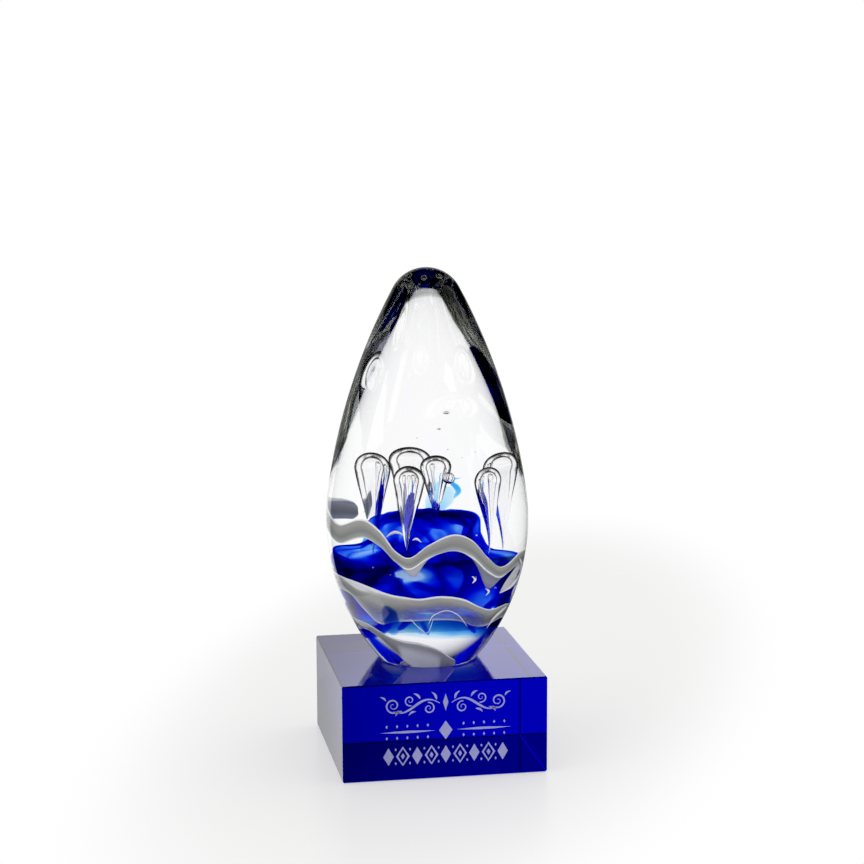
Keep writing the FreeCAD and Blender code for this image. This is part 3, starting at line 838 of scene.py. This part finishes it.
def thinning(turn, height):
    """Share of the blue layer that is missing at a place, by the windows near it."""
    share = 0.0
    for angle, level, wide, tall, missing in WINDOWS:
        near = math.exp(-((apart(turn, angle) / wide) ** 2 + ((height - level) / tall) ** 2) ** 1.8)
        here = missing * min(1.0, 1.5 * near)
        if abs(here) > abs(share):
            share = here
    return share


def layer_depth(inset, turn, height, crown, low):
    """Thickness of the blue layer in millimetres."""
    ridges = 1 - abs(swirl(turn, height + 6 * math.sin(turn * 2), 2.0, 9.0)) * 1.8
    depth = 1.0 + inset * max(0.0, ridges) ** 1.4 + 0.8 * max(0.0, swirl(turn, height, 5.0, 3.0))
    depth *= (1 - 0.6 * crown) * (1 - 0.7 * low) * (1 - 0.55 * bump_at(turn, 170, 75))
    return max(THINNEST, depth * (1 - thinning(turn, height)))


def heart_ring(radius, height, inset):
    """Ring of points on the heart's outside at inset 0, or else on the inside of the blue layer."""
    crown = min(1.0, max(0.0, (height - 41) / 6))
    low = max(0.0, 1 - (height - 23) / 8)
    shoulder = min(1.0, max(0.0, (height - 38) / 3)) * min(1.0, max(0.0, (53 - height) / 3))

    def reach(turn):
        pull = sum(bump_at(turn, shape[0], 15) for name, shape in BUBBLES.items() if name != "centre")
        lobes = crown * (0.8 - 1.5 * pull + 1.5 * swirl(turn, height, 2.2, 5.0)) * (radius > 9)
        folds = 0.35 * swirl(turn, height, 3.5, 1.0) - 1.6 * crown * shoulder * bump_at(turn, 100, 50)
        depth = layer_depth(inset, turn, height, crown, low) if inset else 0.0
        return (radius + lobes + folds - depth) * MM

    def level(turn):
        drip = low * 2.6 * swirl(turn, 0.0, 3.0, 2.0)
        top = crown * 1.3 * swirl(turn, 0.0, 2.6, 7.0) - 1.7 * shoulder * bump_at(turn, 105, 50)
        if not inset:
            return FOOT + (height + top + drip) * MM
        wall = 0.8 * layer_depth(inset, turn, height, crown, low)
        cap = min(1.0, max(0.0, (height - 53) / 1.5)) * min(1.0, 1 - thinning(turn, height))
        return FOOT + (height + top + drip - crown * (wall + cap * (0.3 * inset - wall))) * MM

    return ring(reach, level, 220)


def heart_sheet(inset):
    """Rings of points over the heart, from its lower rim to its crown."""
    outline = smooth_course([(i, r, z) for i, (r, z) in enumerate(HEART_OUTLINE)], 10)[:, 1:]
    return [heart_ring(radius, height, inset) for radius, height in outline]


def make_veil():
    """Cobalt layer: a domed crown with lobes between the bubbles, open below, of uneven thickness."""
    skin = Skin()
    outer = heart_sheet(0)
    inner = heart_sheet(RIDGES)[::-1]
    skin.turned(outer, (None, (0, 0, FOOT + CROWN_TOP * MM)))
    inside = len(skin.points)
    skin.turned(inner, ((0, 0, FOOT + CROWN_CEILING * MM), None))
    count = len(outer[0])
    rim = inside + (len(inner) - 1) * count
    for step in range(count):
        turn = (step + 1) % count
        skin.faces.append((rim + step, rim + turn, turn, step))
    for shape in LOBES:
        petal(skin, *shape)
    return add_piece("cobalt_heart", skin.mesh("cobalt_heart"),
                     veil_glass("cobalt_layer", (0.0, 0.44, 0.95), 3600), "cobalt_glass", "cobalt_veil")


def azure_ring(a):
    """Ring of points at an angle round the azure band's section."""
    def level(turn):
        sway = 0.9 * swirl(turn, 0.0, 2.0, 4.0) - 2.3 * math.sin(turn)
        return FOOT + (19.6 + sway + 4.0 * math.sin(a)) * MM

    def reach(turn):
        height = (level(turn) - FOOT) / MM
        thick = 0.12 + (1.4 + 0.5 * swirl(turn, 0.0, 3.0, 8.0)) * (0.5 + 0.5 * math.sin(a)) ** 1.5
        return (9.4 + 0.42 * height + thick * math.cos(a) + 0.4 * math.sin(3 * turn)) * MM

    return ring(reach, level, 160)


def make_azure():
    """Thin light blue band low in the heart."""
    skin = Skin()
    around = 16
    rows = [azure_ring(2 * math.pi * step / around) for step in range(around)]
    skin.turned([*rows, rows[0]])
    return add_piece("azure_ring", skin.mesh("azure_ring"),
                     veil_glass("azure_layer", (0.0, 0.62, 0.93), 2000), "azure_glass", "azure_band")


def petal(skin, angle, height, reach, wide, tall, thick, lean):
    """Rounded sheet of blue glass that lies on the heart at an angle and height."""
    rows = []
    steps, around = 24, 24
    for step in range(1, steps):
        tilt = math.pi * step / steps
        level = FOOT + (height - tall * math.cos(tilt)) * MM
        spread = wide * math.sin(tilt) ** 0.8
        row = []
        for k in range(around):
            a = 2 * math.pi * k / around
            turn = math.radians(angle + lean * math.cos(tilt)) + spread * math.cos(a) / reach
            depth = -thick * math.sin(a) * math.sin(tilt) - 0.06 * (spread * math.cos(a)) ** 2
            row.append(spot(turn, (reach + depth) * MM, level))
        rows.append(row)
    skin.turned(rows, [spot(math.radians(angle - lean * end), reach * MM, FOOT + (height + tall * end) * MM)
                       for end in (-1, 1)])


# Azure petals on the heart: angle, height, distance from the axis, half-width, half-height, half-thickness
# and lean.
PETALS = [(150, 40.0, 21.0, 4.0, 3.6, 0.4, 5), (-150, 46.0, 18.0, 3.0, 4.0, 0.4, 8),
          (120, 22.0, 20.0, 3.5, 4.5, 0.5, 10), (-8, 17.6, 18.2, 2.6, 2.0, 0.25, -8)]

# Cobalt lobes that hang below the heart's rim, in the same terms.
LOBES = [(-43, 21.0, 22.4, 3.2, 6.6, 0.3, 2), (-31, 20.0, 18.8, 1.6, 3.4, 0.9, -8),
         (-13, 18.6, 18.2, 1.0, 3.4, 0.5, 4), (36, 18.0, 18.2, 1.4, 3.4, 0.8, 8),
         (200, 17.5, 17.8, 2.4, 3.4, 0.9, 6)]


def make_petals():
    """Azure petals, as one piece."""
    skin = Skin()
    for shape in PETALS:
        petal(skin, *shape)
    return add_piece("azure_petals", skin.mesh("azure_petals"),
                     veil_glass("petal_glass", (0.0, 0.7, 0.975), 1500), "azure_glass", "azure_band")


def wisp_blade(skin, spine, widths, thicks):
    """Thin curved blade of blue glass along a spine of (right, depth, height) points in millimetres."""
    line = smooth_course([(i, *point, w, t) for i, (point, w, t) in enumerate(zip(spine, widths, thicks))], 9)
    rows = []
    for number, (_, x, y, z, wide, thick) in enumerate(line):
        before, after = line[max(number - 1, 0)], line[min(number + 1, len(line) - 1)]
        along = Vector((after[1] - before[1], after[3] - before[3])).normalized()
        row = []
        around = 24
        for k in range(around):
            a = 2 * math.pi * k / around
            out = wide * math.cos(a)
            row.append(((x + out * along.y) * MM, (y + thick * math.sin(a) + 0.06 * out ** 2) * MM,
                        FOOT + (z - out * along.x) * MM))
        rows.append(row)
    skin.capped(rows)


# Blades of the wisp, as spine, half-widths and half-thicknesses: the stem, the fork and the curled tip.
BLADES = [
    ([(2.4, 3.4, 55.2), (2.8, 3.5, 57.6), (3.8, 3.6, 60.0), (5.0, 3.7, 62.4), (5.6, 3.8, 64.2)],
     [1.8, 2.8, 3.4, 2.8, 1.0], [0.45, 0.35, 0.22, 0.2, 0.12]),
    ([(2.0, 3.2, 61.0), (1.9, 3.2, 63.0), (2.0, 3.1, 65.0), (2.4, 3.0, 67.0)],
     [0.9, 0.8, 0.5, 0.12], [0.35, 0.3, 0.3, 0.1]),
    ([(7.2, 4.8, 60.0), (8.1, 4.8, 62.0), (7.6, 4.7, 63.8), (6.7, 4.6, 65.2), (7.0, 4.5, 66.6),
      (8.6, 4.4, 66.9)],
     [0.3, 0.7, 0.8, 0.6, 0.5, 0.12], [0.5, 0.8, 1.0, 0.9, 0.6, 0.15]),
]


def make_wisp():
    """Light blue wisp that rises from the crown, forks and curls at its tip."""
    skin = Skin()
    for blade in BLADES:
        wisp_blade(skin, *blade)
    return add_piece("blue_wisp", skin.mesh("blue_wisp"), veil_glass("wisp_glass", (0.0, 0.7, 0.975), 1500),
                     "azure_glass", "cobalt_wisp")


# ---------------- block

BLOCK_BEVEL = 0.5 * MM


def make_block():
    """Square crystal block with narrow polished bevels."""
    mesh = bpy.data.meshes.new("crystal_block")
    build = bmesh.new()
    bmesh.ops.create_cube(build, size=1)
    for vertex in build.verts:
        x, y, z = vertex.co
        vertex.co = (x * BLOCK_WIDTH, y * BLOCK_WIDTH, (z + 0.5) * BLOCK_HEIGHT)
    bmesh.ops.bevel(build, geom=build.edges[:], offset=BLOCK_BEVEL, segments=1, affect="EDGES")
    for face in build.faces:
        face.material_index = int(face.normal.z < -0.9)
    build.to_mesh(mesh)
    build.free()
    block = add_piece("crystal_block", mesh, cobalt_crystal("polished_crystal", (0.97, 0.97, 1.0), (1, 1, 1)),
                      "cobalt_crystal", "base_block")
    mesh.materials.append(cobalt_crystal("crystal_underside", (0.44, 0.44, 0.46), (0.5, 0.5, 0.52)))
    return block


# ---------------- etched ornament

# Sizes in this section are in millimetres.
ETCH_DEPTH = 0.12


def stroke(skin, points, widths, closed=False):
    """Flat ribbon on the front face through (right, height) points in millimetres."""
    count = len(points)
    front = BLOCK_LOW.y / MM + ETCH_DEPTH / 2
    rows = []
    for number, (x, z) in enumerate(points):
        before = points[(number - 1) % count if closed else max(number - 1, 0)]
        after = points[(number + 1) % count if closed else min(number + 1, count - 1)]
        along = Vector((after[0] - before[0], after[1] - before[1])).normalized()
        half = widths[number] / 2
        left = (x - along.y * half, z + along.x * half)
        right = (x + along.y * half, z - along.x * half)
        rows.append([(left[0] * MM, front * MM, left[1] * MM), (right[0] * MM, front * MM, right[1] * MM),
                     (right[0] * MM, (front + ETCH_DEPTH / 2) * MM, right[1] * MM),
                     (left[0] * MM, (front + ETCH_DEPTH / 2) * MM, left[1] * MM)])
    if closed:
        rows.append(rows[0])
        skin.turned(rows)
    else:
        skin.capped(rows)


def lozenge(skin, x, z, wide, tall):
    """Filled diamond."""
    steps = 9
    points = [(x, z - tall / 2 + tall * k / (steps - 1)) for k in range(steps)]
    stroke(skin, points, [max(0.02, wide * (1 - abs(2 * k / (steps - 1) - 1))) for k in range(steps)])


def open_lozenge(skin, x, z, wide, tall, width):
    """Diamond drawn as an outline."""
    corners = [(x, z - tall / 2), (x + wide / 2, z), (x, z + tall / 2), (x - wide / 2, z)]
    stroke(skin, corners, [width] * 4, closed=True)


def scroll(skin, side, x, z, radius, turns, start, line):
    """Spiral that narrows towards its middle."""
    points, widths = [], []
    steps = int(28 * turns)
    for k in range(steps + 1):
        s = k / steps
        a = start + 2 * math.pi * turns * s
        r = radius * (1 - 0.88 * s)
        points.append((side * (x + r * math.cos(a)), z + r * math.sin(a)))
        widths.append(line * (0.35 + 0.65 * math.sin(math.pi * min(1.0, 0.25 + s))))
    stroke(skin, points, widths)


def leaf(skin, side, x, z, length, angle, wide):
    """Almond that points along an angle."""
    points, widths = [], []
    for k in range(13):
        s = k / 12
        bow = 0.16 * length * math.sin(math.pi * s)
        points.append((side * (x + length * s * math.cos(angle) - bow * math.sin(angle)),
                       z + length * s * math.sin(angle) + bow * math.cos(angle)))
        widths.append(max(0.03, wide * math.sin(math.pi * s ** 0.8)))
    stroke(skin, points, widths)


# Heights of the rules and of the lozenge frieze, and the spacing of the dots and of the frieze's lozenges.
RULE_LEVEL = 18.1
FRIEZE_LEVEL = 9.0
DOT_PITCH = 3.8
FRIEZE_PITCH = 5.3


def make_etching():
    """Generic etched ornament: leafy scrolls, tapered rules with a lozenge between, and a lozenge frieze."""
    skin = Skin()
    for side in (-1, 1):
        stem, widths = [], []
        for k in range(41):
            s = k / 40
            stem.append((side * (2.2 + 17.0 * s), 27.6 + 2.3 * math.sin(2 * math.pi * (0.82 * s + 0.05))))
            widths.append(0.28 + 0.62 * math.sin(math.pi * s) ** 2)
        stroke(skin, stem, widths)
        scroll(skin, side, 19.4, 28.2, 2.9, 1.7, math.pi * 1.25, 0.62)
        scroll(skin, side, 6.2, 26.6, 2.2, 1.5, math.pi * 0.45, 0.55)
        scroll(skin, side, 13.2, 29.8, 2.0, 1.4, math.pi * 1.4, 0.5)
        for x, z, length, angle, wide in ((3.4, 29.6, 3.6, 1.0, 0.9), (9.4, 30.2, 3.4, 0.7, 0.85),
                                          (16.0, 26.0, 3.2, -0.6, 0.8), (11.0, 25.6, 3.2, -0.5, 0.8),
                                          (22.0, 30.0, 2.8, 0.6, 0.7)):
            leaf(skin, side, x, z, length, angle, wide)
        rule = [(side * (4.1 + k), RULE_LEVEL) for k in range(21)]
        stroke(skin, rule, [max(0.05, 0.9 * math.sin(math.pi * k / 20)) for k in range(21)])
        for k in range(5):
            for shift in (2.2, -2.2):
                lozenge(skin, side * (6.6 + DOT_PITCH * k), RULE_LEVEL + shift, 0.9, 1.3)
    lozenge(skin, 0, 28.6, 2.0, 6.4)
    lozenge(skin, 0, RULE_LEVEL, 5.0, 7.0)
    for k in range(-4, 5):
        x = FRIEZE_PITCH * k
        if k % 2:
            open_lozenge(skin, x, FRIEZE_LEVEL, 4.3, 6.6, 0.825)
            lozenge(skin, x, FRIEZE_LEVEL, 1.5, 2.4)
        else:
            lozenge(skin, x, FRIEZE_LEVEL, 3.9, 6.6)
        if k < 4:
            for shift in (2.6, -2.6):
                lozenge(skin, x + FRIEZE_PITCH / 2, FRIEZE_LEVEL + shift, 0.8, 1.2)
    return add_piece("etched_ornament", skin.mesh("etched_ornament", smooth=False), frosted_glass(),
                     "cobalt_crystal")


FILM_GAP = 0.02 * MM
FILM_ROUNDING = 0.1 * MM


def make_film():
    """Thin disc of clear adhesive under the egg's foot."""
    radius = (FILM_HIGH.x - FILM_LOW.x) / 2
    low, high = FILM_LOW.z + FILM_GAP, FILM_HIGH.z - FILM_GAP
    skin = Skin()
    skin.turned([ring(radius - FILM_ROUNDING, low, 128), ring(radius, (low + high) / 2, 128),
                 ring(radius - FILM_ROUNDING, high, 128)], ((0, 0, low), (0, 0, high)))
    return add_piece("adhesive_film", skin.mesh("adhesive_film", smooth=False), adhesive_glass(),
                     "clear_adhesive", "bond_film")


make_camera()
make_floor()
make_world()
make_lights()
make_block()
make_film()
make_casing()
make_trail()
make_veil()
make_azure()
make_petals()
make_wisp()
make_etching()

# Light crosses many skins of glass on its way through the egg.
GLASS_BOUNCES = 24
scene.view_settings.view_transform = "Standard"
scene.cycles.max_bounces = GLASS_BOUNCES
scene.cycles.transmission_bounces = GLASS_BOUNCES
scene.cycles.transparent_max_bounces = GLASS_BOUNCES
